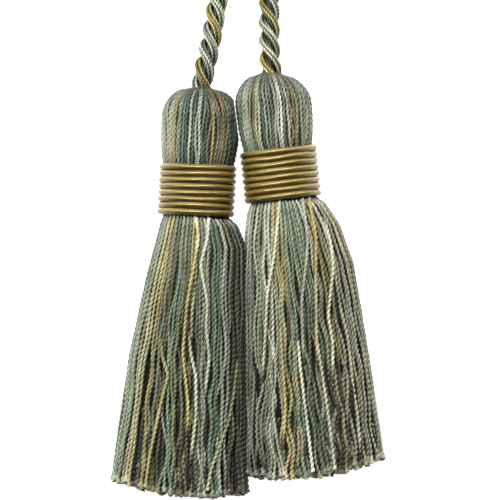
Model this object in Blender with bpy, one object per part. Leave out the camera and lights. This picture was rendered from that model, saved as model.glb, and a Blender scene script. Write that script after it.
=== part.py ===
"""A tassel tie for a chair back or a curtain, lying on a flat surface.

A twisted cord joins two tassels. Each tassel is one hank of yarns, with a round
head and a cut skirt, bound at the neck by a wound band. The surface is z = 0, the
skirts point to -Y and the cord's loop lies to +Y.
"""

import math
import random
from collections import namedtuple

import bmesh
import bpy
from mathutils import Matrix, Vector

MM = 0.001
GAP = 0.3 * MM  # between pieces that touch

# Head: a dome that narrows down to the band, with the cord's socket in its top.
HEAD_HEIGHT = 24.0 * MM
HEAD_RADIUS = 12.7 * MM
DOME_HEIGHT = 9.0 * MM
DOME_POWER = 3
HEAD_FOOT_RADIUS = 11.5 * MM  # where the head meets the band
RIBS = 44  # yarns laid over the head
RIB_RISE = 0.24 * MM
SOCKET_DEPTH = 3.0 * MM
AXIS_HEIGHT = 12.35 * MM  # head and band axis above the surface
REST_DEPTH = 0.4 * MM  # the head is pressed flat up to this height where it rests

# Band: turns of cord wound round the neck.
BAND_TURNS = 8
BAND_HEIGHT = 16.6 * MM
BAND_RADIUS = 12.15 * MM
BAND_GROOVE = 0.75 * MM
BAND_STEPS = 28
NECK_RADIUS = 10.0 * MM
NECK_END = 1.2 * MM  # the neck stops this far above the band's lower edge

# Skirt: strands in square rings, spread from a round neck to a flat-bottomed fan.
STRAND_ROWS = 11
STRAND_HALF = 0.70 * MM  # centre to corner at the root
STRAND_SWELL = 3.0 * MM  # over this much of its length it reaches its full size
STRAND_HALF_LOW = 0.78 * MM  # centre to corner in the fan
ROOT_INSET = 0.2 * MM
ROOT_DOME = 0.2 * MM  # the strands spring from a shallow dome
SKIRT_LENGTH = 91.5 * MM
EDGE_LIFT = 3.0 * MM  # strands at the fan's sides end this much higher
LENGTH_SPREAD = 1.1 * MM
SIDE_SPREAD = 0.16  # share of a strand's pitch that its end strays
MIDDLE_SHARE = 0.5  # height of the fan's widest line
FLOOR_SPREAD = 0.04  # how much wider the rest on the floor gets with squareness
RING_CROWDING = 0.94  # under 1 draws the inner strands outwards at the hem

Stage = namedtuple("Stage", "from_ring below")
STAGES = [  # where a strand bends, below the band, for rings from this one out
    Stage(5, 0.3 * MM),
    Stage(5, 3.0 * MM),
    Stage(4, 10.0 * MM),
    Stage(4, 35.0 * MM),
]

Section = namedtuple("Section", "below left right bottom top squareness")
Press = namedtuple("Press", "reach slope")  # a flat where the heads push together
Tassel = namedtuple("Tassel", "name x y turn seed press sections")

LEFT_SKIRT = [  # half widths and heights in millimetres, below the band
    Section(0.0, 9.9, 9.9, 2.5, 22.2, 2.0),
    Section(3.0, 11.3, 12.8, 1.4, 23.7, 2.2),
    Section(10.0, 12.6, 15.8, 0.0, 24.5, 3.0),
    Section(22.5, 14.7, 16.4, 0.0, 24.0, 4.0),
    Section(47.0, 18.2, 17.7, 0.0, 21.0, 5.0),
    Section(92.0, 22.4, 20.4, 0.0, 18.5, 5.0),
]
RIGHT_SKIRT = [
    Section(0.0, 9.9, 9.9, 2.5, 22.2, 2.0),
    Section(3.0, 11.9, 14.3, 1.4, 23.7, 2.2),
    Section(10.0, 13.3, 17.9, 0.0, 24.7, 3.0),
    Section(22.5, 14.9, 19.8, 0.0, 24.2, 4.0),
    Section(47.0, 17.5, 21.2, 0.0, 21.2, 5.0),
    Section(92.0, 21.4, 24.3, 0.0, 18.5, 5.0),
]
TASSELS = [
    Tassel("left", -17.3 * MM, 31.4 * MM, math.radians(-3), 11, Press(14.7 * MM, 0.158), LEFT_SKIRT),
    Tassel("right", 10.2 * MM, 36.6 * MM, math.radians(6), 23, None, RIGHT_SKIRT),
]

# Cord: three strands twisted together.
CORD_RADIUS = 3.175 * MM
CORD_GROOVE = 0.8 * MM
CORD_STRANDS = 3
TWIST_LENGTH = 19.5 * MM  # one full turn of a strand
STEPS_PER_TURN = 7
CORD_ROUTE = [  # millimetres, from the left head's socket round to the right one's
    (-16.0, 61.2, 12.35),
    (-15.6, 67.0, 12.25),
    (-15.0, 73.0, 11.3),
    (-14.0, 80.0, 9.0),
    (-12.8, 87.0, 6.3),
    (-11.5, 94.0, 4.4),
    (-10.3, 102.0, 3.45),
    (-9.5, 111.0, 3.25),
    (-9.7, 125.0, 3.25),
    (-11.8, 143.0, 3.25),
    (-15.2, 163.0, 3.25),
    (-18.6, 184.0, 3.25),
    (-20.6, 205.0, 3.25),
    (-20.6, 224.0, 3.25),
    (-17.2, 241.0, 3.25),
    (-9.0, 252.4, 3.25),
    (1.6, 256.4, 3.25),
    (12.4, 253.0, 3.25),
    (20.4, 242.4, 3.25),
    (23.8, 226.0, 3.25),
    (23.6, 207.0, 3.25),
    (21.4, 187.0, 3.25),
    (17.8, 167.0, 3.25),
    (13.8, 149.0, 3.25),
    (10.3, 133.0, 3.25),
    (8.0, 120.0, 3.25),
    (6.9, 109.0, 3.45),
    (6.5, 101.0, 4.3),
    (6.3, 94.0, 6.1),
    (6.2, 87.0, 8.8),
    (6.3, 80.0, 11.1),
    (6.6, 73.0, 12.25),
    (7.15, 66.3, 12.35),
]


def clear_scene():
    for thing in list(bpy.data.objects):
        bpy.data.objects.remove(thing)


def yarn_material(name, colour, roughness):
    material = bpy.data.materials.new(name)
    material.use_nodes = True
    shader = material.node_tree.nodes["Principled BSDF"]
    shader.inputs["Base Color"].default_value = (*colour, 1)
    shader.inputs["Roughness"].default_value = roughness
    return material


def mesh_object(name, bm, material):
    bmesh.ops.recalc_face_normals(bm, faces=bm.faces)
    if bm.calc_volume(signed=True) < 0:
        bmesh.ops.reverse_faces(bm, faces=bm.faces)
    mesh = bpy.data.meshes.new(name)
    bm.to_mesh(mesh)
    bm.free()
    mesh.shade_smooth()
    mesh.set_sharp_from_angle(angle=math.radians(50))
    mesh.materials.append(material)
    thing = bpy.data.objects.new(name, mesh)
    bpy.context.scene.collection.objects.link(thing)
    return thing


def smooth_curve(points, share, index):
    """A Catmull-Rom curve between points[index] and the next one."""
    a = points[max(index - 1, 0)]
    b = points[index]
    c = points[index + 1]
    d = points[min(index + 2, len(points) - 1)]
    return 0.5 * (
        2 * b
        + (c - a) * share
        + (2 * a - 5 * b + 4 * c - d) * share**2
        + (3 * b - a - 3 * c + d) * share**3
    )


def section_at(sections, below):
    """The skirt's section at any height, in metres, blended between the table's rows."""
    place = below / MM
    upper = sections[0]
    lower = sections[1]
    for first, second in zip(sections, sections[1:]):
        if first.below <= place:
            upper = first
            lower = second
    share = min((place - upper.below) / (lower.below - upper.below), 1.0)
    blend = [a + (b - a) * share for a, b in zip(upper, lower)]
    row = Section(*blend)
    return row._replace(
        left=row.left * MM, right=row.right * MM, bottom=row.bottom * MM, top=row.top * MM
    )


def disc_spot(u, v):
    """Maps a square from -1 to 1 onto the unit disc, each square ring to a round one."""
    reach = max(abs(u), abs(v))
    if reach == 0:
        return 0.0, 0.0
    if abs(u) >= abs(v):
        turn = math.pi / 4 * v / u
        start = 0 if u > 0 else math.pi
    else:
        turn = -math.pi / 4 * u / v
        start = math.pi / 2 if v > 0 else -math.pi / 2
    return reach * math.cos(start + turn), reach * math.sin(start + turn)


def fan_spot(section, across, up, half, lowest):
    """Where a strand of the unit disc lies in the skirt's section: x and z."""
    side = section.left if across < 0 else section.right
    middle = section.bottom + MIDDLE_SHARE * (section.top - section.bottom)
    x = across * (side - half)
    if up >= 0:
        return x, middle + up * (section.top - half - middle)
    column = math.sqrt(max(1 - across**2, 0))
    share = min(-up / column, 1) if column > 0.01 else 0
    flat = (1 - min(abs(across), 1) ** section.squareness) ** (1 / section.squareness)
    depth = min(1, flat * (1 + FLOOR_SPREAD * (section.squareness - 2))) * share
    return x, middle - depth * (middle - section.bottom - lowest)


def dome_radius(from_top):
    level = max(1 - from_top / DOME_HEIGHT, 0)
    return HEAD_RADIUS * (1 - level**DOME_POWER) ** (1 / DOME_POWER)


def head_rings():
    """(y, radius, rib rise) down the head, from the socket's floor to the neck's end."""
    top = BAND_HEIGHT / 2 + HEAD_HEIGHT
    foot = BAND_HEIGHT / 2 + GAP
    rings = [
        (top - SOCKET_DEPTH, CORD_RADIUS + GAP, 0),
        (top + 0.3 * MM, CORD_RADIUS + GAP, 0),
        (top, dome_radius(0.15 * MM), RIB_RISE / 2),
    ]
    for from_top in (0.8 * MM, 2.4 * MM, 5.2 * MM, DOME_HEIGHT):
        rings.append((top - from_top, dome_radius(from_top), RIB_RISE))
    for share in (0.6, 1.0):  # the narrowing below the dome
        y = top - DOME_HEIGHT - share * (top - DOME_HEIGHT - foot)
        rings.append((y, HEAD_RADIUS + (HEAD_FOOT_RADIUS - HEAD_RADIUS) * share**2.2, RIB_RISE))
    rings.append((foot, NECK_RADIUS, 0))
    rings.append((NECK_END - BAND_HEIGHT / 2, NECK_RADIUS, 0))
    return rings


def build_head(bm, press):
    """Ribbed rings joined from the socket's floor to the neck's end, whose rim it returns."""
    steps = 2 * RIBS
    rings = head_rings()
    upright = Matrix.Rotation(math.radians(90), 4, "X")
    made = bmesh.ops.create_circle(
        bm, cap_ends=True, segments=steps, radius=rings[0][1], matrix=upright
    )
    rim = [edge for edge in bm.edges if len(edge.link_faces) == 1]
    ring_verts = made["verts"]
    for number, (y, radius, rise) in enumerate(rings):
        if number:
            grown = bmesh.ops.extrude_edge_only(bm, edges=rim)["geom"]
            ring_verts = [item for item in grown if isinstance(item, bmesh.types.BMVert)]
            fresh = set(ring_verts)
            rim = [
                item
                for item in grown
                if isinstance(item, bmesh.types.BMEdge) and set(item.verts) <= fresh
            ]
        for vert in ring_verts:
            angle = math.atan2(vert.co.z, vert.co.x)
            ridge = 1 if round(angle / (2 * math.pi) * steps) % 2 == 0 else -1
            reach = radius + ridge * rise
            vert.co = Vector((reach * math.cos(angle), y, reach * math.sin(angle)))
    for vert in bm.verts:
        vert.co.z += AXIS_HEIGHT
        if vert.co.z < REST_DEPTH:
            vert.co.z = 0
        if press and vert.co.y > BAND_HEIGHT / 2:
            vert.co.x = min(vert.co.x, press.reach - press.slope * vert.co.y)
    return rim


def build_roots(bm, rim):
    """Closes the neck's end with a grid of cells, and returns each cell with its place."""
    before = set(bm.faces)
    half = NECK_RADIUS - 0.35 * MM
    made = bmesh.ops.create_grid(
        bm, x_segments=STRAND_ROWS, y_segments=STRAND_ROWS, size=1
    )
    cells = [face for face in bm.faces if face not in before]
    outer_row = 1 - 1 / STRAND_ROWS
    places = []
    for cell in cells:
        centre = cell.calc_center_median()
        ring = round(max(abs(centre.x), abs(centre.y)) * STRAND_ROWS / 2)
        places.append((disc_spot(centre.x / outer_row, centre.y / outer_row), ring))
    for vert in made["verts"]:
        x, z = disc_spot(vert.co.x, vert.co.y)
        dome = ROOT_DOME * (1.3 - x**2 - z**2)
        y = NECK_END - BAND_HEIGHT / 2 + dome
        vert.co = Vector((x * half, y, z * half + AXIS_HEIGHT))
    border = [edge for cell in cells for edge in cell.edges if len(edge.link_faces) == 1]
    bmesh.ops.bridge_loops(bm, edges=rim + border)
    bmesh.ops.inset_individual(bm, faces=cells, thickness=ROOT_INSET)
    return list(zip(cells, places))


def grow_strand(bm, root, spot, ring, tassel, dice):
    """Draws one root face out into a strand, bend by bend, to its cut end."""
    across, up = spot
    radius = math.hypot(across, up)
    angle = math.atan2(up, across)
    pitch = 2 * math.pi / max(8 * ring, 1)
    stray = dice.uniform(-SIDE_SPREAD, SIDE_SPREAD) * pitch
    end = SKIRT_LENGTH - EDGE_LIFT * across**2 + dice.uniform(-LENGTH_SPREAD, LENGTH_SPREAD)
    heights = [stage.below for stage in STAGES if ring >= stage.from_ring] + [end]
    middle = root.calc_center_median()
    outward = [(corner.co - middle).normalized() for corner in root.verts]
    lean = -min(direction.z for direction in outward)
    for below in heights:
        share = below / end
        half = STRAND_HALF + (STRAND_HALF_LOW - STRAND_HALF) * min(below / STRAND_SWELL, 1)
        reach = radius ** (1 + (RING_CROWDING - 1) * share)
        turned = angle + stray * share
        section = section_at(tassel.sections, below)
        x, z = fan_spot(
            section, reach * math.cos(turned), reach * math.sin(turned), half, lean * half
        )
        centre = Vector((x, -BAND_HEIGHT / 2 - below, z))
        root = bmesh.ops.extrude_discrete_faces(bm, faces=[root])["faces"][0]
        for corner, direction in zip(root.verts, outward):
            corner.co = centre + direction * half


def make_tassel(tassel, yarn):
    bm = bmesh.new()
    rim = build_head(bm, tassel.press)
    dice = random.Random(tassel.seed)
    for root, (spot, ring) in build_roots(bm, rim):
        grow_strand(bm, root, spot, ring, tassel, dice)
    return mesh_object("tassel_" + tassel.name, bm, yarn)


def make_band(tassel, gimp):
    """One wound band: a ridge for each turn, spun round the neck's axis."""
    bm = bmesh.new()
    pitch = BAND_HEIGHT / BAND_TURNS
    inner = NECK_RADIUS + GAP
    groove = BAND_RADIUS - BAND_GROOVE
    outline = [(inner, BAND_HEIGHT / 2)]
    for turn in range(BAND_TURNS):
        for share, radius in ((0, groove), (0.28, BAND_RADIUS), (0.72, BAND_RADIUS)):
            outline.append((radius, BAND_HEIGHT / 2 - (turn + share) * pitch))
    outline.append((groove, -BAND_HEIGHT / 2))
    outline.append((inner, -BAND_HEIGHT / 2))
    corners = [bm.verts.new((radius, y, 0)) for radius, y in outline]
    edges = [bm.edges.new(pair) for pair in zip(corners, corners[1:] + corners[:1])]
    bmesh.ops.spin(
        bm,
        geom=corners + edges,
        axis=(0, 1, 0),
        angle=2 * math.pi,
        steps=BAND_STEPS,
        use_merge=True,
    )
    bmesh.ops.translate(bm, verts=bm.verts, vec=(0, 0, AXIS_HEIGHT))
    return mesh_object("band_" + tassel.name, bm, gimp)


def cord_profile():
    """The cord's cross-section: three round lobes with a groove between each pair."""
    curve = bpy.data.curves.new("cord_profile", "CURVE")
    curve.dimensions = "2D"
    per_lobe = 3
    count = CORD_STRANDS * per_lobe
    spline = curve.splines.new("POLY")
    spline.points.add(count - 1)
    spline.use_cyclic_u = True
    for number, point in enumerate(spline.points):
        radius = CORD_RADIUS - CORD_GROOVE if number % per_lobe == 0 else CORD_RADIUS
        shift = (0, -0.12, 0.12)[number % per_lobe]  # widens each lobe's crown
        angle = -2 * math.pi * (number + shift) / count
        point.co = (radius * math.cos(angle), radius * math.sin(angle), 0, 1)
    profile = bpy.data.objects.new("cord_profile", curve)
    profile.hide_render = True
    profile.display_type = "WIRE"
    bpy.context.scene.collection.objects.link(profile)
    return profile


def even_points(route, spacing):
    """Evenly spaced points on the smooth curve through the route."""
    fine = 24
    dense = [
        smooth_curve(route, step / fine, index)
        for index in range(len(route) - 1)
        for step in range(fine)
    ] + [route[-1]]
    lengths = [0.0]
    for a, b in zip(dense, dense[1:]):
        lengths.append(lengths[-1] + (b - a).length)
    count = round(lengths[-1] / spacing)
    points = []
    at = 0
    for number in range(count + 1):
        wanted = lengths[-1] * number / count
        while at < len(dense) - 2 and lengths[at + 1] < wanted:
            at += 1
        share = (wanted - lengths[at]) / (lengths[at + 1] - lengths[at])
        points.append(dense[at].lerp(dense[at + 1], share))
    return points


def make_cord(material):
    route = [Vector(point) * MM for point in CORD_ROUTE]
    points = even_points(route, TWIST_LENGTH / STEPS_PER_TURN)
    curve = bpy.data.curves.new("cord", "CURVE")
    curve.dimensions = "3D"
    curve.bevel_mode = "OBJECT"
    curve.bevel_object = cord_profile()
    curve.use_fill_caps = True
    spline = curve.splines.new("POLY")
    spline.points.add(len(points) - 1)
    for number, (target, point) in enumerate(zip(spline.points, points)):
        target.co = (*point, 1)
        target.tilt = 2 * math.pi * number / STEPS_PER_TURN
    curve.materials.append(material)
    cord = bpy.data.objects.new("cord", curve)
    bpy.context.scene.collection.objects.link(cord)
    return cord


def main():
    clear_scene()
    yarn = yarn_material("hank_yarn", (0.33, 0.36, 0.27), 0.75)
    gimp = yarn_material("band_gimp", (0.35, 0.24, 0.06), 0.45)
    rope = yarn_material("rope_gimp", (0.40, 0.40, 0.30), 0.6)
    make_cord(rope)
    for tassel in TASSELS:
        place = bpy.data.objects.new("place_" + tassel.name, None)
        place.location = (tassel.x, tassel.y, 0)
        place.rotation_euler.z = tassel.turn
        bpy.context.scene.collection.objects.link(place)
        make_tassel(tassel, yarn).parent = place
        make_band(tassel, gimp).parent = place


main()
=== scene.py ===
import math
from collections import namedtuple

import bpy
import numpy as np
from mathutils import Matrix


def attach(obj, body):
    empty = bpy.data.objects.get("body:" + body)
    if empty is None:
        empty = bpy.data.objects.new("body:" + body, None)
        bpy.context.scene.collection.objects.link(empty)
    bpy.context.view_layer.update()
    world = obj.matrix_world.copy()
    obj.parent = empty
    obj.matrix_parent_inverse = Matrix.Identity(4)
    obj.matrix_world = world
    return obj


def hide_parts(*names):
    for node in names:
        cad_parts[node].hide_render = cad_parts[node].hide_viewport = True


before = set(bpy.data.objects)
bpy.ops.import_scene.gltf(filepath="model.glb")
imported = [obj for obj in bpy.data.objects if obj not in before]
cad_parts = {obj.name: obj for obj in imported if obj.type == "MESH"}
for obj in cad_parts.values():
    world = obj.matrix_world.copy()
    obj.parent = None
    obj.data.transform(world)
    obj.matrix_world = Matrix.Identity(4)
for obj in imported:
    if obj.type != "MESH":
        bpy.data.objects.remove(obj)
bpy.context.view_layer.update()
mm = 0.001
print("frame loaded")


# camera: straight above, through a long lens
overhead = {
    "aim": (0.0, 11.9 * mm, 12.0 * mm),  # between the tassels, at half their height
    "wide": 162.8 * mm,  # what it takes in at that height
    "lens": 400.0,
    "sensor": 36.0,
}


def makeCamera():
    data = bpy.data.cameras.new("overhead")
    data.lens = overhead["lens"]
    data.sensor_width = overhead["sensor"]
    data.clip_end = 20.0
    camera = bpy.data.objects.new("overhead", data)
    x, y, z = overhead["aim"]
    distance = overhead["wide"] * overhead["lens"] / overhead["sensor"]
    camera.location = (x, y, z + distance)
    bpy.context.scene.collection.objects.link(camera)
    bpy.context.scene.camera = camera


makeCamera()
print("camera ready")


# shader tools
def linear(code):
    # a web colour as the linear numbers that shaders work in
    channels = [int(code[i : i + 2], 16) / 255 for i in (0, 2, 4)]
    return [c / 12.92 if c <= 0.04045 else ((c + 0.055) / 1.055) ** 2.4 for c in channels]


class Wire:
    # one output in a material: sums written on it add the nodes that work them out
    def __init__(self, tree, socket=None):
        self.tree = tree
        self.socket = socket

    def node(self, kind, settings=None, inputs=None, out=0):
        made = self.tree.nodes.new("ShaderNode" + kind)
        for key, value in (settings or {}).items():
            setattr(made, key, value)
        for key, value in (inputs or {}).items():
            self.plug(made.inputs[key], value)
        return Wire(self.tree, made.outputs[out])

    def plug(self, socket, value):
        if isinstance(value, Wire):
            self.tree.links.new(value.socket, socket)
        else:
            socket.default_value = value

    def sum(self, operation, first, second):
        return self.node("Math", {"operation": operation}, {0: first, 1: second})

    def __add__(self, other):
        return self.sum("ADD", self, other)

    def __mul__(self, other):
        return self.sum("MULTIPLY", self, other)

    def __sub__(self, other):
        return self.sum("SUBTRACT", self, other)

    def __rsub__(self, other):
        return self.sum("SUBTRACT", other, self)

    __radd__ = __add__
    __rmul__ = __mul__

    def blend(self, other, amount, how="MIX"):
        return self.node(
            "Mix",
            {"data_type": "RGBA", "blend_type": how},
            {0: amount, 6: self, 7: other},
            out=2,
        )

    def stretched(self, x, y, z):
        return self.node("VectorMath", {"operation": "MULTIPLY"}, {0: self, 1: (x, y, z)})



def newMaterial(name, constants):
    material = bpy.data.materials.new(name)
    material.use_nodes = True
    shader = material.node_tree.nodes["Principled BSDF"]
    for key, value in constants.items():
        shader.inputs[key].default_value = value
    return material, shader, Wire(material.node_tree)


# yarn and cord making

# degrees round the yarn, and how far out: two plies with a groove between
twoPly = [(0, 1.0), (54, 0.76), (126, 0.76), (180, 1.0), (234, 0.76), (306, 0.76)]


def roundSection(sides):
    return [(360 * i / sides, 1.0) for i in range(sides)]


def unit(vectors):
    return vectors / np.linalg.norm(vectors, axis=-1, keepdims=True)


def noSpinFrames(lines, start):
    # directions beside and above each line, which don't turn round it
    along = unit(np.gradient(lines, axis=1))
    beside = np.empty_like(lines)
    side = np.broadcast_to(np.asarray(start, float), lines[:, 0].shape)
    for step in range(lines.shape[1]):
        tangent = along[:, step]
        side = unit(side - tangent * (side * tangent).sum(-1, keepdims=True))
        beside[:, step] = side
    return beside, np.cross(along, beside)


def lengthsAlong(lines):
    steps = np.linalg.norm(np.diff(lines, axis=1), axis=-1)
    return np.concatenate([np.zeros((len(lines), 1)), np.cumsum(steps, axis=1)], axis=1)


class Hank:
    # gathers many lengths of yarn into one mesh
    deep = np.array([1.0, 1.0, 1.25])  # painted shade on the yarn turns olive

    def __init__(self):
        self.points = []
        self.faces = []
        self.tones = []
        self.maps = []
        self.count = 0

    def lay(
        self, lines, radius, section, tones, lead=None, phase=0.0, start=(1, 0, 0), groove=1.0, hollows=()
    ):
        # lines (yarns, steps, 3); radius (yarns, steps); tones (yarns, steps, 3)
        # hollows (centre lines, near, far, shade): painted shade, darker near each centre line; groove is
        # painted shade in the plies' grooves
        yarns, steps = lines.shape[:2]
        sides = len(section)
        beside, above = noSpinFrames(lines, start)
        turn = np.zeros((yarns, steps))
        if lead is not None:
            turn = 2 * math.pi * lengthsAlong(lines) / np.reshape(lead, (-1, 1))
        turn = turn + np.reshape(phase, (-1, 1))
        angles = np.radians([angle for angle, out in section])
        outs = np.array([out for angle, out in section])
        full = turn[:, :, None] + angles
        reach = np.asarray(radius)[:, :, None] * outs
        points = lines[:, :, None, :] + reach[..., None] * (
            np.cos(full)[..., None] * beside[:, :, None, :]
            + np.sin(full)[..., None] * above[:, :, None, :]
        )
        # painted shade: darker in the grooves between the plies, tinted by deep
        dark = np.where(outs < 0.9, groove, 1.0)
        shades = np.asarray(tones)[:, :, None, :] * dark[None, None, :, None] ** self.deep
        # painted shade: darker near each hollow's centre line
        for centres, near, far, shade in hollows:
            away = np.linalg.norm(points - np.asarray(centres)[..., None, :], axis=-1)
            lit = np.clip((away - near) / (far - near), 0, 1)
            shades = shades * (shade + (1 - shade) * lit)[..., None] ** self.deep
        index = self.count + np.arange(yarns * steps * sides).reshape(yarns, steps, sides)
        after = np.roll(index, -1, axis=2)
        quads = np.stack(
            [index[:, :-1], after[:, :-1], after[:, 1:], index[:, 1:]], axis=-1
        ).reshape(-1, 4)
        column = np.arange(sides + 1) / sides * 0.9 + 0.05  # a gap between the yarns on the map
        u = (np.arange(yarns)[:, None, None] + column[None, None, :]) / yarns
        v = np.broadcast_to(np.linspace(0.0, 1.0, steps)[None, :, None], (yarns, steps, 1))
        u = np.broadcast_to(u, (yarns, steps, sides + 1))
        v = np.broadcast_to(v, u.shape)
        corner = np.stack([u, v], axis=-1)
        maps = np.stack(
            [corner[:, :-1, :-1], corner[:, :-1, 1:], corner[:, 1:, 1:], corner[:, 1:, :-1]],
            axis=-2,
        ).reshape(-1, 4, 2)
        self.points.append(points.reshape(-1, 3))
        self.tones.append(np.clip(shades, 0, 1).reshape(-1, 3))
        self.faces.append(quads)
        self.maps.append(maps)
        self.count += yarns * steps * sides
        self.close(index[:, 0, ::-1], corner[:, 0, 0])
        self.close(index[:, -1], corner[:, -1, 0])

    def close(self, rings, spots):
        # an end is closed by quads across it
        sides = rings.shape[1]
        for first in range(sides // 2 - 1):
            a, b = first, sides - 1 - first
            quads = np.stack([rings[:, a], rings[:, a + 1], rings[:, b - 1], rings[:, b]], axis=-1)
            self.faces.append(quads)
            self.maps.append(np.repeat(spots[:, None, :], 4, axis=1))

    def mesh(self, name, material):
        points = np.concatenate(self.points).astype(np.float32)
        faces = np.concatenate(self.faces).astype(np.int32)
        maps = np.concatenate(self.maps).astype(np.float32)
        tones = np.concatenate(self.tones).astype(np.float32)
        mesh = bpy.data.meshes.new(name)
        mesh.vertices.add(len(points))
        mesh.vertices.foreach_set("co", points.ravel())
        mesh.loops.add(faces.size)
        mesh.loops.foreach_set("vertex_index", faces.ravel())
        mesh.polygons.add(len(faces))
        mesh.polygons.foreach_set("loop_start", np.arange(0, faces.size, 4, dtype=np.int32))
        mesh.polygons.foreach_set("use_smooth", np.ones(len(faces), bool))
        mesh.update(calc_edges=True)
        shade = mesh.attributes.new("tone", "FLOAT_COLOR", "POINT")
        opaque = np.hstack([tones, np.ones((len(tones), 1), np.float32)])
        shade.data.foreach_set("color", opaque.ravel())
        mesh.uv_layers.new(name="OFBake").uv.foreach_set("vector", maps.ravel())
        mesh.materials.append(material)
        made = bpy.data.objects.new(name, mesh)
        bpy.context.scene.collection.objects.link(made)
        print(name, "faces", len(faces))
        return made


# dyes: what the yarns are wound from
dyes = {
    "mint": linear("BCCAB4"),
    "silver": linear("C6C9BC"),
    "sage": linear("9EAB91"),
    "greyGreen": linear("87927E"),
    "teal": linear("6C8876"),
    "darkTeal": linear("50695A"),
    "gold": linear("AA975A"),
    "khaki": linear("B3AA80"),
    "cream": linear("D4D1B6"),
    "ivory": linear("E2DECD"),
    "taupe": linear("9E937D"),
    "blush": linear("B7A793"),
    "slate": linear("868F8A"),
    "olive": linear("7D7A54"),
    "darkOlive": linear("505139"),
}


def yarnMaterial(name, roughness):
    material, shader, start = newMaterial(
        name, {"Specular IOR Level": 0.42, "Sheen Weight": 0.1, "Sheen Roughness": 0.4}
    )
    tone = start.node("Attribute", {"attribute_name": "tone"})
    place = start.node("TexCoord", out="Object")
    mottle = start.node("TexNoise", {}, {"Vector": place, "Scale": 900.0, "Detail": 2.0})
    drift = start.node("TexNoise", {}, {"Vector": place, "Scale": 120.0, "Detail": 1.0})
    light = mottle * 0.5 + drift * 0.5 + 0.5
    colour = tone.blend(light, 1.0, "MULTIPLY")
    fibres = start.node("TexNoise", {}, {"Vector": place.stretched(4200, 900, 4200), "Scale": 1.0})
    bump = start.node("Bump", {}, {"Strength": 0.25, "Distance": 0.00006, "Height": fibres})
    start.plug(shader.inputs["Base Color"], colour)
    start.plug(shader.inputs["Roughness"], 1.0 - mottle * 0.2 - (0.9 - roughness))
    start.plug(shader.inputs["Normal"], bump)
    return material


# the rope: three strands of gimp, laid left over right
rope = {
    "radius": 3.175 * mm,
    "strands": 3,
    "turn": 19.22 * mm,  # one full turn of a strand
    "shift": 1.4 * mm,  # where along the rope the turns begin
    "strandOut": 2.0 * mm,  # from the rope's middle to a strand's
    "gimpOut": 1.06 * mm,  # from a strand's middle to a gimp's
    "gimpRadius": 0.61 * mm,
    "gimpLead": 2.4 * mm,
    "strandLead": 46 * mm,
    "strandCore": 0.85 * mm,
    "coreRadius": 1.3 * mm,
    # painted shade: the cores are dyed near black to stand for the shade in the gaps
    "coreShade": 0.1,
    "wobble": 0.06 * mm,
    "wobbleLength": 7 * mm,
    "brightness": (0.8, 1.1),
    # painted shade in the plies' grooves
    "groove": 0.55,
    "lineHollow": (1.75 * mm, 2.45 * mm, 0.01),  # painted shade near the rope's middle: from this far to that, and how dark it is nearer
    # painted shade near each strand's middle, between its gimps
    "strandHollow": (0.95 * mm, 1.4 * mm, 0.12),
    "step": 0.46 * mm,
    "dyes": [  # the gimps of each strand
        ["gold", "cream", "gold", "khaki", "olive"],
        ["silver", "ivory", "slate", "silver", "greyGreen"],
        ["silver", "sage", "silver", "teal", "mint"],
    ],
    "casts": [(1.0, 0.99, 0.68), (0.97, 0.97, 0.93), (0.95, 0.97, 0.93)],  # each strand's tint
}
ropeRoute = [  # millimetres, from the left head's socket round to the right one's
    (-15.85, 61.2, 12.35),
    (-15.45, 67.0, 12.25),
    (-14.2, 73.0, 11.3),
    (-12.9, 80.0, 9.0),
    (-11.6, 87.0, 6.3),
    (-10.5, 94.0, 4.4),
    (-9.6, 102.0, 3.85),
    (-9.1, 111.0, 3.72),
    (-9.7, 125.0, 3.72),
    (-11.8, 143.0, 3.72),
    (-15.2, 163.0, 3.72),
    (-18.6, 184.0, 3.72),
    (-20.6, 205.0, 3.72),
    (-20.6, 224.0, 3.72),
    (-17.2, 241.0, 3.72),
    (-9.0, 252.4, 3.72),
    (1.6, 256.4, 3.72),
    (12.4, 253.0, 3.72),
    (20.4, 242.4, 3.72),
    (23.8, 226.0, 3.72),
    (23.6, 207.0, 3.72),
    (21.4, 187.0, 3.72),
    (17.8, 167.0, 3.72),
    (13.8, 149.0, 3.72),
    (10.3, 133.0, 3.72),
    (8.0, 120.0, 3.72),
    (6.9, 109.0, 3.85),
    (6.5, 101.0, 4.3),
    (6.3, 94.0, 6.1),
    (6.2, 87.0, 8.8),
    (6.3, 80.0, 11.1),
    (6.6, 73.0, 12.25),
    (7.15, 66.3, 12.35),
]


def smoothRoute(route, spacing):
    # a smooth curve through the route's points, with even steps
    stops = np.array(route) * mm
    stops = np.vstack([2 * stops[0] - stops[1], stops, 2 * stops[-1] - stops[-2]])
    share = np.linspace(0, 1, 24, endpoint=False)[:, None]
    runs = []
    for a, b, c, d in zip(stops, stops[1:], stops[2:], stops[3:]):
        runs.append(
            0.5
            * (
                2 * b
                + (c - a) * share
                + (2 * a - 5 * b + 4 * c - d) * share**2
                + (3 * b - a - 3 * c + d) * share**3
            )
        )
    fine = np.vstack([*runs, stops[-2:-1]])
    travelled = lengthsAlong(fine[None])[0]
    even = np.linspace(0, travelled[-1], round(travelled[-1] / spacing) + 1)
    line = np.stack([np.interp(even, travelled, fine[:, axis]) for axis in range(3)], axis=-1)
    return line, travelled[-1]


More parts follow.
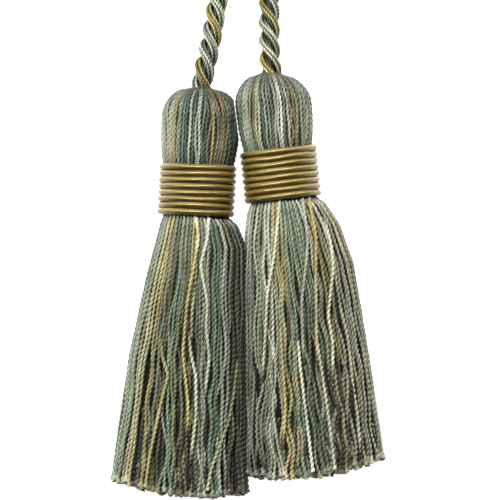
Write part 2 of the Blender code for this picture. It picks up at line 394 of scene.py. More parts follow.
def gimpMaterial(name, roughness, wraps, tint):
    # cord wound round with fine satin thread; wraps is how close the windings are
    material, shader, start = newMaterial(
        name, {"Specular IOR Level": 0.75, "Specular Tint": tint, "Metallic": 0.3}
    )
    tone = start.node("Attribute", {"attribute_name": "tone"})
    spot = start.node("UVMap", {"uv_map": "OFBake"})
    threads = start.node(
        "TexWave",
        {"bands_direction": "Y"},
        {"Vector": spot, "Scale": wraps, "Distortion": 1.5, "Detail": 1.0, "Detail Scale": 2.0},
        out="Fac",
    )
    place = start.node("TexCoord", out="Object")
    mottle = start.node("TexNoise", {}, {"Vector": place, "Scale": 500.0, "Detail": 3.0})
    light = threads * 0.22 + mottle * 0.5 + 0.62
    start.plug(shader.inputs["Base Color"], tone.blend(light, 1.0, "MULTIPLY"))
    start.plug(shader.inputs["Roughness"], mottle * 0.2 + (roughness - 0.1))
    bump = start.node("Bump", {}, {"Strength": 0.4, "Distance": 0.00005, "Height": threads})
    start.plug(shader.inputs["Normal"], bump)
    return material


def fillStrand(hank, middle, radius):
    # the dark inside, which closes the gaps, dyed near black as painted shade
    tones = np.broadcast_to(np.array(dyes["darkOlive"]) * rope["coreShade"], (1, len(middle[::4]), 3))
    hank.lay(middle[None, ::4], np.full(tones.shape[:2], radius), roundSection(8), tones)


def makeRope():
    line, length = smoothRoute(ropeRoute, rope["step"])
    travelled = lengthsAlong(line[None])[0]
    beside, above = (found[0] for found in noSpinFrames(line[None], (1, 0, 0)))
    hank = Hank()
    dice = np.random.default_rng(5)
    wobble = rope["wobble"] * np.sin(travelled / rope["wobbleLength"])
    for strand in range(rope["strands"]):
        angle = -2 * math.pi * ((travelled - rope["shift"]) / rope["turn"] + strand / rope["strands"])
        out = np.cos(angle)[:, None] * beside + np.sin(angle)[:, None] * above
        across = -np.sin(angle)[:, None] * beside + np.cos(angle)[:, None] * above
        middle = line + (rope["strandOut"] + wobble)[:, None] * out
        gimps = rope["dyes"][strand]
        for gimp, name in enumerate(gimps):
            own = 2 * math.pi * (gimp / len(gimps) + travelled / rope["strandLead"]) + strand
            path = middle + rope["gimpOut"] * (
                np.cos(own)[:, None] * out + np.sin(own)[:, None] * across
            )
            radius = np.full((1, len(line)), rope["gimpRadius"])
            tone = np.array(dyes[name]) * dice.uniform(*rope["brightness"]) * rope["casts"][strand]
            tones = np.broadcast_to(tone, (1, len(line), 3))
            # painted shade near the rope's middle and each strand's middle, and in the grooves
            hank.lay(
                path[None],
                radius,
                twoPly,
                tones,
                rope["gimpLead"],
                dice.uniform(0, 6),
                groove=rope["groove"],
                hollows=[(line[None], *rope["lineHollow"]), (middle[None], *rope["strandHollow"])],
            )
        fillStrand(hank, middle, rope["strandCore"])
    fillStrand(hank, line, rope["coreRadius"])
    piece = hank.mesh("rope_gimp_strands", gimpMaterial("ropeGimp", 0.42, 500.0, (1.0, 1.0, 1.0, 1.0)))
    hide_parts("cord")
    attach(piece, "root")
    print("rope laid,", round(length * 1000), "mm")


makeRope()


# the tassels' places and shapes
leftTassel = {
    "name": "left",
    "x": -17.3 * mm,
    "y": 31.4 * mm,
    "turn": math.radians(-3),
    "seed": 11,
    "press": (15.9 * mm, 0.18),  # the flat where the heads push together
    "skirt": [  # below the band, left and right half widths, bottom, top, squareness
        (0.0, 10.6, 10.6, 2.0, 23.2, 2.0),
        (3.0, 11.6, 14.4, 1.2, 24.3, 2.2),
        (10.0, 13.1, 17.8, 0.0, 24.5, 3.0),
        (22.5, 15.8, 18.3, 0.0, 24.0, 4.0),
        (47.0, 19.9, 19.8, 0.0, 21.0, 5.0),
        (92.0, 24.0, 22.8, 0.0, 18.5, 5.0),
    ],
    "skirtLength": 91.1 * mm,
    "hemLift": 3.0 * mm,  # the sides end this much higher
    "hemSlope": 0.9 * mm,  # longer towards +X
    "skirtLevel": 0.97,
    "skirtNeighbourShade": (9.0 * mm, 18.0 * mm, 0.38),  # painted shade beside the neighbour: from here to there, darker by this
    # painted shade on the head beside the neighbour, as above
    "headNeighbourShade": (5.0 * mm, 10.5 * mm, 0.34),
    "strays": [  # single yarns over the others: how far below the band and how far aside, in millimetres
        ("gold", [(-1, 0), (7, 1.5), (15, 0.6), (29, -1.2), (45, -1.7), (60, 0.7), (67, 1.1), (76, 0.4)]),
        ("ivory", [(-1, 4.4), (7, 4.4), (16, 2.5), (28, 5.4), (36, 5.3), (46, 6.9), (64, 5.6)]),
        ("gold", [(36, -9.6), (47, -8.1), (52, -5.9), (59, -7.5), (79, -10.7), (89, -11.5)]),
        ("khaki", [(40, 16.4), (59, 15.2), (67, 14.0), (75, 11.4), (82, 9.3), (89, 8.4)]),
        ("mint", [(34, -0.6), (45, 0.9), (52, 2.9), (65, 3.6), (84, 2.2)]),
    ],
    "headSize": (13.1 * mm, 0.1 * mm, 0.0),  # radius, how far aside, how much its right shoulder drops
    "headDyes": [
        "greyGreen", "mint", "silver", "silver", "mint", "silver", "khaki", "silver", "gold", "sage",
        "teal", "darkTeal", "ivory", "darkTeal", "silver", "darkTeal", "darkTeal", "khaki", "gold",
        "taupe", "taupe", "gold", "khaki", "slate", "darkTeal", "teal", "darkTeal", "darkOlive",
        "darkOlive", "darkOlive",
    ],
    "skirtDyes": [
        "darkTeal", "teal", "mint", "sage", "sage", "greyGreen", "taupe", "khaki", "khaki", "gold",
        "khaki", "sage", "olive", "silver", "teal", "khaki", "greyGreen", "gold", "khaki", "greyGreen",
        "sage", "ivory", "darkTeal", "teal", "sage", "silver", "silver", "taupe", "darkTeal", "darkOlive",
        "greyGreen", "slate", "darkOlive", "darkTeal", "darkOlive", "darkOlive",
    ],
}
rightTassel = {
    "name": "right",
    "x": 10.0 * mm,
    "y": 36.6 * mm,
    "turn": math.radians(6),
    "seed": 23,
    "press": None,
    "skirt": [
        (0.0, 10.6, 10.6, 2.0, 23.2, 2.0),
        (3.0, 12.3, 14.0, 1.2, 24.4, 2.2),
        (10.0, 14.0, 17.8, 0.0, 24.7, 3.0),
        (22.5, 16.0, 21.0, 0.0, 24.2, 4.0),
        (47.0, 18.6, 22.7, 0.0, 21.2, 5.0),
        (92.0, 23.2, 24.9, 0.0, 18.5, 5.0),
    ],
    "skirtLength": 90.5 * mm,
    "hemLift": 3.0 * mm,
    "hemSlope": -0.3 * mm,
    "skirtLevel": 1.02,
    # painted shade beside the neighbour: from here to there, darker by this
    "skirtNeighbourShade": (-9.0 * mm, -18.0 * mm, 0.55),
    "headNeighbourShade": (-11.0 * mm, -13.0 * mm, 0.75),
    "strays": [
        ("ivory", [(-1, -0.9), (7, -2.7), (17, -4.7), (30, -8.4), (43, -10.4), (62, -13.6)]),
        ("silver", [(0, 6.0), (13, 6.5), (20, 5.4), (33, 2.4), (45, 1.5), (58, 0.8)]),
        ("cream", [(3, 11.6), (16, 13.7), (24, 13.6), (39, 10.3), (48, 11.0), (64, 9.1)]),
        ("gold", [(-1, 8.0), (13, 9.2), (26, 7.7), (47, 5.8), (60, 5.6)]),
        ("cream", [(38, 5.4), (57, 6.5), (70, 7.0), (89, 7.4)]),
        ("gold", [(34, -4.8), (47, -5.6), (67, -6.3), (84, -9.1)]),
        ("ivory", [(40, 0.1), (53, -0.3), (66, -0.1), (89, 0.3)]),
    ],
    "headSize": (12.7 * mm, 0.0, 0.2),
    "headDyes": [
        "slate", "greyGreen", "sage", "mint", "sage", "mint", "silver", "mint", "sage", "khaki",
        "mint", "teal", "sage", "mint", "greyGreen", "silver", "ivory", "sage", "ivory", "taupe",
        "gold", "teal", "sage", "greyGreen", "sage", "khaki", "greyGreen", "cream", "olive", "sage",
    ],
    "skirtDyes": [
        "slate", "silver", "sage", "silver", "greyGreen", "sage", "silver", "silver", "mint", "sage",
        "silver", "ivory", "silver", "silver", "khaki", "gold", "khaki", "teal", "sage", "sage",
        "silver", "teal", "ivory", "ivory", "gold", "khaki", "cream", "ivory", "khaki", "silver",
        "taupe", "blush", "silver", "olive", "greyGreen", "slate",
    ],
}
tasselBuild = {
    "axis": 12.35 * mm,  # how high a tassel's middle line lies
    "bandHeight": 16.6 * mm,
    "bandTurns": 8,
    "bandRadius": 12.6 * mm,
    "headHeight": 24.0 * mm,
    "headNarrowing": 1.55 * mm,  # from the belly to inside the band
    "domeHeight": 8.5 * mm,
    "domePower": 1.8,
    "flatShare": 0.47,  # of its width, the flat of a head's top
    "skirtLength": 91.5 * mm,  # the scale that bends and waves go by
    "middleShare": 0.5,
    "floorSpread": 0.04,  # how much wider the rest on the floor gets with squareness
}
dyeing = {
    "mean": linear("A3A68C"),  # what faded yarn tends to
    "brightness": (0.56, 1.31),
    "ripple": 0.07,
    "tint": 0.025,
    "cast": (0.99, 1.0, 1.04),
}
mixedDyes = [  # for the yarns underneath, and for second dyes
    "mint", "silver", "sage", "greyGreen", "teal", "gold", "khaki", "cream", "taupe", "slate", "darkTeal",
]


def intoPlace(tassel, points):
    # from a tassel's own axes to the floor's
    c, s = math.cos(tassel["turn"]), math.sin(tassel["turn"])
    x = points[..., 0] * c - points[..., 1] * s + tassel["x"]
    y = points[..., 0] * s + points[..., 1] * c + tassel["y"]
    return np.stack([x, y, points[..., 2]], axis=-1)


def settled(tassel, points, inset):
    # a head as it lies: moved aside, one shoulder lower, and flat against its neighbour
    aside, drop = tassel["headSize"][1:]
    points = points.copy()
    over = points[..., 1] > tasselBuild["bandHeight"] / 2
    share = np.clip((points[..., 1] - tasselBuild["bandHeight"] / 2) / tasselBuild["headHeight"], 0, 1)
    points[..., 1] -= drop * np.maximum(points[..., 0], 0) * share**2
    points[..., 0] += aside * np.sin(share * math.pi)
    if tassel["press"] is not None:
        reach, slope = tassel["press"]
        limit = reach - slope * points[..., 1] - inset
        points[..., 0] = np.where(over, np.minimum(points[..., 0], limit), points[..., 0])
    return points


def sectionAt(tassel, below):
    rows = np.array(tassel["skirt"])
    return [np.interp(below / mm, rows[:, 0], rows[:, i]) * (mm if i < 5 else 1) for i in range(1, 6)]


def fanSpot(tassel, across, up, below, half):
    # where a yarn lies in the skirt's cross-section
    left, right, bottom, top, square = sectionAt(tassel, below)
    side = np.where(across < 0, left, right)
    x = across * (side - half)
    middle = bottom + tasselBuild["middleShare"] * (top - bottom)
    column = np.sqrt(np.maximum(1 - across**2, 1e-9))
    share = np.minimum(-up / column, 1)
    flat = np.maximum(1 - np.abs(across) ** square, 0) ** (1 / square)
    depth = np.minimum(1, flat * (1 + tasselBuild["floorSpread"] * (square - 2))) * share
    low = middle - depth * (middle - bottom - half)
    high = middle + up * (top - half - middle)
    return x, np.where(up >= 0, high, low)


def waves(dice, yarns, shares, size, lengths):
    # slow bends, growing towards the free end
    total = np.zeros((yarns, shares.shape[-1]))
    for length in lengths:
        shift = dice.uniform(0, 2 * math.pi, (yarns, 1))
        strength = dice.normal(0, 1, (yarns, 1)) * length**0.5
        total += strength * np.sin(2 * math.pi * shares * tasselBuild["skirtLength"] / (length * mm) + shift)
    return total * size / sum(length**0.5 for length in lengths)


def dyeAlong(dice, names, steps, second=0.45, faded=0.2):
    # each yarn's colour, paler and darker along it, with stretches where a second dye took
    yarns = len(names)
    first = np.array([dyes[name] for name in names])[:, None, :]
    picked = dice.integers(len(mixedDyes), size=yarns)
    other = np.array([dyes[mixedDyes[i]] for i in picked])[:, None, :]
    t = np.linspace(0, 1, steps)[None, :]
    ripple = np.zeros((yarns, steps))
    for count in (3, 7, 16):
        beats = count * t * dice.uniform(0.6, 1.4, (yarns, 1)) + dice.random((yarns, 1))
        ripple += np.sin(2 * math.pi * beats)
    stretch = t * dice.uniform(0.5, 1.6, (yarns, 1)) + dice.random((yarns, 1))
    took = np.clip(np.sin(2 * math.pi * stretch), 0, 1)
    tones = first + (other - first) * (second * took)[..., None]
    level = dice.uniform(*dyeing["brightness"], (yarns, 1)) * (1 + dyeing["ripple"] * ripple)
    warm = 1 + dyeing["tint"] * dice.normal(0, 1, (yarns, 1, 3))
    tones = tones + (np.array(dyeing["mean"]) - tones) * faded
    return tones * level[..., None] * warm * dyeing["cast"]


Layer = namedtuple("Layer", "yarns reach step first last begin level")
skirtLayers = {
    # how many, how far out, step, angles from and to, where they start below the band, how bright; the
    # layers under the top are darker as painted shade
    "top": Layer(44, 0.985, 0.36 * mm, 0, 180, -1.0 * mm, 1.10),
    "topUnder": Layer(30, 0.90, 0.6 * mm, 0, 180, -1.0 * mm, 0.16),
    "floor": Layer(34, 0.985, 0.8 * mm, 183, 357, -1.0 * mm, 0.9),
    "floorUnder": Layer(16, 0.86, 0.9 * mm, 186, 354, 20 * mm, 0.6),
    "inner": Layer(76, 0.84, 0.9 * mm, 0, 360, 62 * mm, 0.8),
}
skirtYarn = {
    "radius": (0.60 * mm, 0.76 * mm),
    "loosened": 0.26,  # this much thicker at the hem
    "stray": 0.78 * mm,
    "lead": (3.3 * mm, 3.7 * mm),
    "endSpread": 1.2 * mm,
    "clumpWave": 1.9 * mm,  # yarns lie in clumps of one to four
    "sideWave": 0.7 * mm,
    "heightWave": 0.5 * mm,
    "drift": (0.045, 0.02),  # how far clumps and yarns turn aside by the hem
    "sink": (0.28, 0.04),  # how deep they sink in by the hem
    "dip": 0.08,  # every second yarn of the top lies this much lower at the band
    "bunchTop": 0.17,  # closer together in the middle of the top
    "bunchFloor": -0.27,  # and at the sides underneath
    # painted shade in the plies' grooves
    "groove": 0.93,
    "hollowReach": (1.45, 2.05),  # painted shade between the yarns: in radii, from a yarn's underside
    "paler": 0.52,  # brighter by this share at the hem, painted light that offsets the shade lower down
    "tight": 0.4,  # less painted shade in the gaps near the band, where the yarns are packed
    "tightShare": 0.36,
    "sinkShade": 1.7,  # painted shade: how much darker the sunk yarns are
    "underSpread": (0.3, 1.7),  # how unlike in brightness the yarns under the top are
    "fray": (0.975, 0.025),  # where along a yarn its cut end starts to open, and over what share
    "opened": (0.1, 0.45),  # how much thicker a cut end is
    "cut": linear("8A826B"),  # the colour of a cut end
    "cutLevel": (0.7, 0.95),
    "cutShare": 0.85,
}
strayYarn = {
    "soft": 17,  # how many points of its path a bend is spread over
    "fade": 10 * mm,  # its ends come up and go under over this length
    "dive": 5.5 * mm,
    "hem": 85 * mm,  # one that reaches this far ends at the hem
    "level": 1.35,
    "dim": 0.08,  # painted shade: what is left of that where it goes under
}


def layerSpots(dice, kind):
    # each yarn's angle round the middle, and how far out it lies
    layer = skirtLayers[kind]
    order = np.arange(layer.yarns) + 0.5
    if kind == "inner":  # evenly scattered
        return order * math.pi * (3 - math.sqrt(5)), layer.reach * np.sqrt(order / layer.yarns)
    share = (order + dice.uniform(-0.2, 0.2, layer.yarns)) / layer.yarns
    angle = np.radians(layer.first + (layer.last - layer.first) * share)
    bunch = skirtYarn["bunchTop"] if layer.last == 180 else skirtYarn["bunchFloor"]
    return angle + bunch * np.sin(2 * angle), np.full(layer.yarns, layer.reach)


def paintedNeighbourShade(tassel, x, shadeKey):
    # painted shade: darker where the neighbour stands in the light
    near, far, shade = tassel[shadeKey]
    return 1 - (1 - shade) * np.clip((x - near) / (far - near), 0, 1)


def layFringe(hank, tassel, dice, points, out, radius, names, level):
    # yarns with their cut ends opened
    yarns, steps = points.shape[:2]
    share = np.linspace(0, 1, steps)[None, :]
    lines = intoPlace(tassel, points)
    beneath = intoPlace(tassel, points - out * radius[..., None])
    opens, length = skirtYarn["fray"]
    fray = np.clip((share - opens) / length, 0, 1)
    below = np.clip((-points[..., 1] - tasselBuild["bandHeight"] / 2) / tasselBuild["skirtLength"], 0, 1)
    # painted shade between the yarns, lighter near the band and at the cut ends
    tight = skirtYarn["tight"] * np.clip(1 - below / skirtYarn["tightShare"], 0, 1)
    shade = np.minimum(tight + 0.8 * fray, 1)[..., None]
    near, far = (radius[..., None] * reach for reach in skirtYarn["hollowReach"])
    # painted light: brighter towards the hem
    level = level * (1 + skirtYarn["paler"] * below)
    tones = dyeAlong(dice, names, steps) * (tassel["skirtLevel"] * level)[..., None]
    cut = np.array(skirtYarn["cut"]) * np.clip(level, *skirtYarn["cutLevel"])[..., None]
    tones = tones + (cut - tones) * (skirtYarn["cutShare"] * fray)[..., None]
    # painted shade beside the neighbour
    tones = tones * paintedNeighbourShade(tassel, points[..., 0], "skirtNeighbourShade")[..., None]
    thick = radius * (1 + dice.uniform(*skirtYarn["opened"], (yarns, 1)) * np.sin(fray * math.pi / 2))
    lead = dice.uniform(*skirtYarn["lead"], yarns)
    phase = dice.uniform(0, 2 * math.pi, yarns)
    hank.lay(
        lines,
        thick,
        twoPly,
        tones,
        lead,
        phase,
        groove=skirtYarn["groove"],
        hollows=[(beneath, near, far, shade)],
    )


def laySkirtLayer(hank, tassel, dice, kind):
    layer = skirtLayers[kind]
    yarns, begin = layer.yarns, layer.begin
    angle, reach = layerSpots(dice, kind)
    steps = round((tasselBuild["skirtLength"] - begin) / layer.step) + 1
    radius = dice.uniform(*skirtYarn["radius"], (yarns, 1))
    clump = np.cumsum(dice.random(yarns) > 0.6)
    if kind == "inner":
        clump = np.arange(yarns)
    clumps = yarns + 1
    across = reach * np.cos(angle)
    end = tassel["skirtLength"] - tassel["hemLift"] * across**2 + tassel["hemSlope"] * across
    end = end + dice.uniform(-0.5, 0.5, yarns) * skirtYarn["endSpread"]
    end = end + dice.uniform(-0.5, 0.5, clumps)[clump] * skirtYarn["endSpread"]
    share = np.linspace(0, 1, steps)[None, :]
    below = begin + share * (end[:, None] - begin)
    down = np.clip(below / tasselBuild["skirtLength"], 0, 1)
    clumpDrift, yarnDrift = skirtYarn["drift"]
    drift = dice.normal(0, clumpDrift, (clumps, 1))[clump] + dice.normal(0, yarnDrift, (yarns, 1))
    turned = angle[:, None] + drift * down
    dip = (np.arange(yarns) % 2)[:, None] * (skirtYarn["dip"] if kind == "top" else 0.0)
    room = 1 - 0.9 * np.abs(np.cos(angle))[:, None] ** 4  # held in at the sides
    clumpSink, yarnSink = skirtYarn["sink"]
    sink = dice.uniform(0, clumpSink, (clumps, 1))[clump] + dice.uniform(0, yarnSink, (yarns, 1))
    sink = sink * room
    reach = reach[:, None] * (1 - dip * (1 - down) ** 4 - 0.25 * sink * down)
    up = reach * np.sin(turned) * (1 - sink * down)
    radius = radius * (1 + skirtYarn["loosened"] * down)
    x, z = fanSpot(tassel, reach * np.cos(turned), up, np.maximum(below, 0), radius)
    sway = waves(dice, clumps, share, skirtYarn["clumpWave"], (18, 33, 60))[clump]
    sway = sway + waves(dice, yarns, share, skirtYarn["sideWave"], (13, 29))
    x = x + sway * room * down**0.7
    z = z + waves(dice, yarns, share, skirtYarn["heightWave"], (17, 31)) * down**0.7
    z = np.maximum(z, radius)
    y = -tasselBuild["bandHeight"] / 2 - below
    points = np.stack([x, y, z], axis=-1)
    out = unit(np.stack([x * 0.3, np.zeros_like(x), z - tasselBuild["axis"] + 1 * mm], axis=-1))
    names = yarnNames(dice, tassel["skirtDyes"], angle, kind)
    # painted shade: darker on the sunk yarns, and on the layers under the top by their level
    bright = layer.level * (1 - skirtYarn["sinkShade"] * sink * down)
    if kind == "topUnder":
        bright = bright * dice.uniform(*skirtYarn["underSpread"], (yarns, 1))
    layFringe(hank, tassel, dice, points, out, radius, names, bright)


def layStrays(hank, tassel, dice):
    # single yarns that wander over the rest, and go under again at their ends
    for name, stops in tassel["strays"]:
        stops = np.array(stops) * mm
        steps = round((stops[-1, 0] - stops[0, 0]) / skirtLayers["top"].step) + 1
        below = np.linspace(stops[0, 0], stops[-1, 0], steps)
        soft = np.hanning(strayYarn["soft"])
        x = np.interp(below, stops[:, 0], stops[:, 1])
        x = np.convolve(np.pad(x, len(soft) // 2, "edge"), soft / soft.sum(), "valid")
        radius = np.full((1, 1), skirtYarn["stray"])
        left, right = sectionAt(tassel, np.maximum(below, 0))[:2]
        across = x / np.where(x < 0, left, right)
        up = np.sqrt(np.maximum(0.98 - across**2, 0.01))
        z = fanSpot(tassel, across, up, np.maximum(below, 0), radius[0])[1]
        rise = (below - below[0]) / strayYarn["fade"] + (stops[0, 0] < mm)
        fall = (below[-1] - below) / strayYarn["fade"] + (stops[-1, 0] > strayYarn["hem"])
        over = np.clip(np.minimum(rise, fall), 0, 1)
        z = z + 0.3 * radius[0] - strayYarn["dive"] * (1 - over) ** 2
        points = np.stack([x, -tasselBuild["bandHeight"] / 2 - below, z], axis=-1)[None]
        out = unit(np.stack([x * 0.3, np.zeros_like(x), z - tasselBuild["axis"]], axis=-1))[None]
        # painted shade where it goes under
        level = strayYarn["level"] * (strayYarn["dim"] + (1 - strayYarn["dim"]) * over[None] ** 2)
        layFringe(hank, tassel, dice, points, out, radius, [name], level)


def yarnNames(dice, order, angle, kind):
    # the dyes from left to right over the top, and mixed elsewhere
    names = []
    for turn in np.mod(angle, 2 * math.pi):
        if turn < math.pi and kind in ("top", "head"):
            place = (1 - turn / math.pi) * len(order)
            names.append(order[int(min(place, len(order) - 1))])
        else:
            names.append(mixedDyes[dice.integers(len(mixedDyes))])
    return names


def makeSkirt(tassel, material):
    dice = np.random.default_rng(tassel["seed"])
    upper = Hank()
    laySkirtLayer(upper, tassel, dice, "top")
    layStrays(upper, tassel, dice)
    lower = Hank()
    for kind in ("topUnder", "floor", "floorUnder", "inner"):
        laySkirtLayer(lower, tassel, dice, kind)
    pieces = [
        upper.mesh(f"skirt_{tassel['name']}_upper_yarns", material),
        lower.mesh(f"skirt_{tassel['name']}_lower_yarns", material),
    ]
    for piece in pieces:
        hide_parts(f"tassel_{tassel['name']}")
        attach(piece, "root")


headYarn = {
    "yarns": 70,
    "radius": 0.64 * mm,
    "lead": 3.5 * mm,
    "step": 0.4 * mm,
    "collar": 3.0 * mm,  # the rope's hole
    "collarRise": 1.0 * mm,
    "crownShade": 0.2,  # painted shade: darker round the hole
    "crownShare": 0.72,
    "footShade": 0.5,  # painted shade: darker by this share at the band
    "footShare": 0.2,
    # painted shade: groove darkens the plies' grooves; hollow darkens between the yarns, from and to these
    # radii
    "groove": 0.72,
    "hollow": 0.14,
    "hollowReach": (1.1, 1.9),
    "level": 0.93,
    "yarnWave": (0.02, (20, 60)),  # how far aside, and the bends' lengths in millimetres
    "clumpWave": (0.055, (60, 110)),
    "uneven": (0.2 * mm, 0.3 * mm),  # how much lower a yarn or a clump may lie
}


def headProfile(tassel):
    # radius and height of a head, from its rope hole to the band: flat top, round shoulder, full belly
    build = tasselBuild
    top = build["bandHeight"] / 2 + build["headHeight"]
    full = tassel["headSize"][0]
    flat = build["flatShare"] * full
    fromTop = np.linspace(0, 1, 40)[1:] ** 2 * build["domeHeight"]
    power = build["domePower"]
    shoulder = (1 - (1 - fromTop / build["domeHeight"]) ** power) ** (1 / power)
    dome = np.stack([flat + (full - flat) * shoulder, top - fromTop], axis=-1)
    collar = headYarn["collar"]
    hole = np.array([(collar, top - 1.5 * mm), (collar + 0.1 * mm, top + headYarn["collarRise"])])
    belly = np.linspace(0, 1, 30)[1:]
    low = build["bandHeight"] / 2 - 1.2 * mm
    height = top - build["domeHeight"]
    sides = np.stack([full - build["headNarrowing"] * belly**2.5, height + (low - height) * belly], axis=-1)
    return np.vstack([hole, dome, sides])


def evenProfile(profile, step):
    travelled = lengthsAlong(np.hstack([profile, np.zeros((len(profile), 1))])[None])[0]
    even = np.linspace(0, travelled[-1], round(travelled[-1] / step) + 1)
    return np.interp(even, travelled, profile[:, 0]), np.interp(even, travelled, profile[:, 1])


def makeHead(tassel, material):
    dice = np.random.default_rng(tassel["seed"] + 1)
    radius, height = evenProfile(headProfile(tassel), headYarn["step"])
    steps, yarns = len(radius), headYarn["yarns"]
    angle = 2 * math.pi * (np.arange(yarns) + 0.5 + dice.uniform(-0.15, 0.15, yarns)) / yarns
    share = np.linspace(0, 1, steps)[None, :]
    clump = np.cumsum(dice.random(yarns) > 0.65)
    turned = angle[:, None] + waves(dice, yarns, share, *headYarn["yarnWave"])
    turned = turned + waves(dice, yarns + 1, share, *headYarn["clumpWave"])[clump]
    room = 2 * math.pi * radius[None, :] / yarns
    thick = np.minimum(headYarn["radius"] * dice.uniform(0.9, 1.08, (yarns, 1)), room * 0.8)
    yarnDrop, clumpDrop = headYarn["uneven"]
    out = radius[None, :] - thick - dice.uniform(0, yarnDrop, (yarns, 1))
    out = out - dice.uniform(0, clumpDrop, (yarns + 1, 1))[clump]
    x = out * np.cos(turned)
    z = np.maximum(tasselBuild["axis"] + out * np.sin(turned), thick)
    y = np.broadcast_to(height[None, :], x.shape)
    points = settled(tassel, np.stack([x, y, z], axis=-1), thick)
    lines = intoPlace(tassel, points)
    middle = np.array([0, 0, tasselBuild["axis"]])
    inward = unit((points - middle) * (1, 0, 1)) * thick[..., None]
    near, far = (thick[..., None] * reach for reach in headYarn["hollowReach"])
    names = yarnNames(dice, tassel["headDyes"], angle, "head")
    # painted shade round the hole and near the band
    crown = headYarn["crownShade"]
    foot = 1 - headYarn["footShade"] * np.clip(1 - (1 - share) / headYarn["footShare"], 0, 1)
    level = foot * (crown + (1 - crown) * np.clip(share / headYarn["crownShare"], 0, 1))
    # painted shade beside the neighbour
    level = level * paintedNeighbourShade(tassel, x, "headNeighbourShade")
    tones = dyeAlong(dice, names, steps, second=0.2, faded=0.05) * (headYarn["level"] * level)[..., None]
    hank = Hank()
    lead = headYarn["lead"] * dice.uniform(0.92, 1.08, yarns)
    phase = dice.uniform(0, 2 * math.pi, yarns)
    hank.lay(
        lines,
        thick,
        twoPly,
        tones,
        lead,
        phase,
        start=(0, 1, 0.3),
        groove=headYarn["groove"],
        hollows=[(intoPlace(tassel, points - inward), near, far, headYarn["hollow"])],
    )
    piece = hank.mesh(f"head_{tassel['name']}_yarns", material)
    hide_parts(f"tassel_{tassel['name']}")
    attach(piece, "root")


core = {
    "sides": 40,
    "headInset": 1.5 * mm,  # under the yarns of a head
    "inset": 0.74,  # of the skirt's width
    "stops": [-10.0, -1.0, 1.0, 4.0, 9.0, 20.0, 35.0, 50.0, 65.0, 82.0, 86.0],  # millimetres below the band
    # painted shade: the core is dyed dark olive, darker still, to stand for the shade inside
    "shade": 0.5,
    "endShade": 3.0,  # less painted shade between the cut ends
}

def makeCore(tassel, material):
    # the imported yarn inside, which closes the gaps, dark as painted shade
    build = tasselBuild
    sides = core["sides"]
    angle = np.arange(sides) / sides * 2 * math.pi
    radius, height = evenProfile(headProfile(tassel)[2:], 1.5 * mm)
    rings = [(0.6 * mm, height[0] - 2.2 * mm)]
    rings += [(r - core["headInset"], h - mm * (i == 0)) for i, (r, h) in enumerate(zip(radius, height))]
    spun = []
    for r, h in rings:
        x, z = r * np.cos(angle), build["axis"] + r * np.sin(angle)
        ring = np.stack([x, np.full(sides, h), np.maximum(z, 1.2 * mm)], axis=-1)
        spun.append(settled(tassel, ring, core["headInset"]))
    inset = core["inset"]
    for below in np.array(core["stops"]) * mm:
        x, z = fanSpot(tassel, inset * np.cos(angle), inset * np.sin(angle), max(below, 0), 0.8 * mm)
        spun.append(np.stack([x, np.full(sides, -build["bandHeight"] / 2 - below), z], axis=-1))
    lines = intoPlace(tassel, np.array(spun))
    hank = Hank()
    steps = len(spun)
    index = np.arange(steps * sides).reshape(steps, sides)
    after = np.roll(index, -1, axis=1)
    quads = np.stack([index[:-1], after[:-1], after[1:], index[1:]], axis=-1).reshape(-1, 4)
    hank.points.append(lines.reshape(-1, 3))
    # painted shade
    tones = np.full((steps, sides, 3), dyes["darkOlive"]) * core["shade"]
    tones[-1] *= core["endShade"]
    hank.tones.append(tones.reshape(-1, 3))
    hank.faces.append(quads)
    spots = np.stack(np.meshgrid(np.arange(sides) / sides, np.arange(steps - 1) / steps), axis=-1)
    corner = np.array([(0, 0), (1 / sides, 0), (1 / sides, 1 / steps), (0, 1 / steps)])
    hank.maps.append((spots[:, :, None, :] + corner).reshape(-1, 4, 2))
    hank.close(index[:1, ::-1], np.zeros((1, 2)))
    hank.close(index[-1:], np.zeros((1, 2)))
    piece = hank.mesh(f"core_{tassel['name']}_yarns", material)
    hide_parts(f"tassel_{tassel['name']}")
    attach(piece, "root")


bandGimp = {
    "radius": 1.10 * mm,
    "steps": 96,
    "sides": 12,
    "wave": 0.10 * mm,
    "lean": 0.015,  # how much the turns climb towards +X
    "dye": linear("A8955A"),
    "deep": (1.0, 1.12, 1.7),  # painted shade on the gimp turns brown
    "hollow": (1.32 * mm, 2.09 * mm, 0.08),  # painted shade by the neck: from this far to that, and how dark it is nearer
    "lowerHollow": (0.77 * mm, 1.925 * mm, 0.07),  # painted shade on each turn's lower side
}


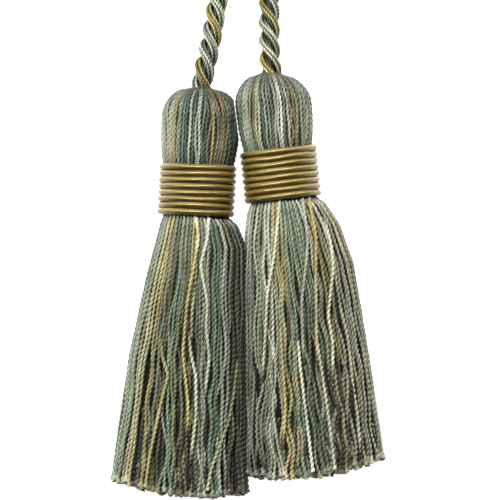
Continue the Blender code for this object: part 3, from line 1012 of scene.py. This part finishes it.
def makeBand(tassel, material):
    dice = np.random.default_rng(tassel["seed"] + 2)
    build = tasselBuild
    turns = build["bandTurns"]
    pitch = build["bandHeight"] / turns
    angle = np.linspace(0, 2 * math.pi, bandGimp["steps"] + 1)[None, :]
    radius = bandGimp["radius"] * (1 + 0.03 * np.sin(3 * angle + dice.uniform(0, 6, (turns, 1))))
    out = build["bandRadius"] - bandGimp["radius"]
    out = out + 0.05 * mm * np.sin(2 * angle + dice.uniform(0, 6, (turns, 1)))
    x = out * np.cos(angle)
    z = np.maximum(build["axis"] + out * np.sin(angle), bandGimp["radius"])
    rows = build["bandHeight"] / 2 - pitch * (np.arange(turns) + 0.5)[:, None]
    wave = np.zeros_like(x)
    for count in (2, 3, 5):
        wave = wave + dice.normal(0, 1, (turns, 1)) * np.sin(count * angle + dice.uniform(0, 6, (turns, 1)))
    y = rows + bandGimp["wave"] * wave / 2 + bandGimp["lean"] * x
    lines = intoPlace(tassel, np.stack([x, y, z], axis=-1))
    tones = np.array(bandGimp["dye"]) * dice.uniform(0.92, 1.08, (turns, 1, 1))
    tones = np.repeat(tones, bandGimp["steps"] + 1, axis=1)
    # centres of the painted shade: by the neck, and under each turn's lower side
    inner = out - radius
    beneath = np.stack([inner * np.cos(angle), y, build["axis"] + inner * np.sin(angle)], axis=-1)
    side = out + 0.3 * radius
    lower = np.stack([side * np.cos(angle), y - 0.8 * radius, build["axis"] + side * np.sin(angle)], axis=-1)
    hank = Hank()
    hank.deep = np.array(bandGimp["deep"])
    hank.lay(
        lines,
        radius,
        roundSection(bandGimp["sides"]),
        tones,
        start=(0, 1, 0),
        hollows=[
            (intoPlace(tassel, beneath), *bandGimp["hollow"]),
            (intoPlace(tassel, lower), *bandGimp["lowerHollow"]),
        ],
    )
    piece = hank.mesh(f"band_{tassel['name']}_turns", material)
    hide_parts(f"band_{tassel['name']}")
    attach(piece, "root")


hankYarn = yarnMaterial("hankYarn", 0.42)
coreYarn = yarnMaterial("coreYarn", 0.9)
bandThread = gimpMaterial("bandThread", 0.23, 110.0, (1.0, 0.94, 0.74, 1.0))
for tassel in (leftTassel, rightTassel):
    makeSkirt(tassel, hankYarn)
    makeHead(tassel, hankYarn)
    makeCore(tassel, coreYarn)
    makeBand(tassel, bandThread)
    print(tassel["name"], "tassel made")


# floor and lights
studio = {
    "floorColour": (0.8, 0.8, 0.8, 1.0),
    "floorGlow": 1.18,
    "floorSize": 3.0,
    "sky": 0.06,
    "keyPower": 64.0,
    "keyPlace": (-0.25, 0.75, 1.15),
    "keySize": (3.2, 0.18),
    "fillPower": 4.0,
    "fillPlace": (0.1, -1.2, 0.22),
    "fillSize": (1.2, 0.4),
}


def addSoftbox(name):
    data = bpy.data.lights.new(name, "AREA")
    data.energy = studio[name + "Power"]
    data.shape = "RECTANGLE"
    data.size, data.size_y = studio[name + "Size"]
    light = bpy.data.objects.new(name, data)
    light.location = studio[name + "Place"]
    light.rotation_euler = light.location.to_track_quat("Z", "Y").to_euler()
    bpy.context.scene.collection.objects.link(light)


def makeStudio():
    mesh = bpy.data.meshes.new("floor")
    size = studio["floorSize"]
    corners = [(-size, -size, 0), (size, -size, 0), (size, size, 0), (-size, size, 0)]
    mesh.from_pydata(corners, [], [(0, 1, 2, 3)])
    floor = bpy.data.objects.new("floor", mesh)
    bpy.context.scene.collection.objects.link(floor)
    material, shader = newMaterial("paleFloor", {"Roughness": 0.9, "Specular IOR Level": 0.1})[:2]
    shader.inputs["Base Color"].default_value = studio["floorColour"]
    shader.inputs["Emission Color"].default_value = studio["floorColour"]
    shader.inputs["Emission Strength"].default_value = studio["floorGlow"]
    mesh.materials.append(material)
    world = bpy.data.worlds.new("studio")
    world.use_nodes = True
    world.node_tree.nodes["Background"].inputs["Color"].default_value = (1.0, 1.0, 1.0, 1.0)
    world.node_tree.nodes["Background"].inputs["Strength"].default_value = studio["sky"]
    bpy.context.scene.world = world
    addSoftbox("key")
    addSoftbox("fill")
    bpy.context.scene.view_settings.view_transform = "Standard"


makeStudio()
print("studio ready")
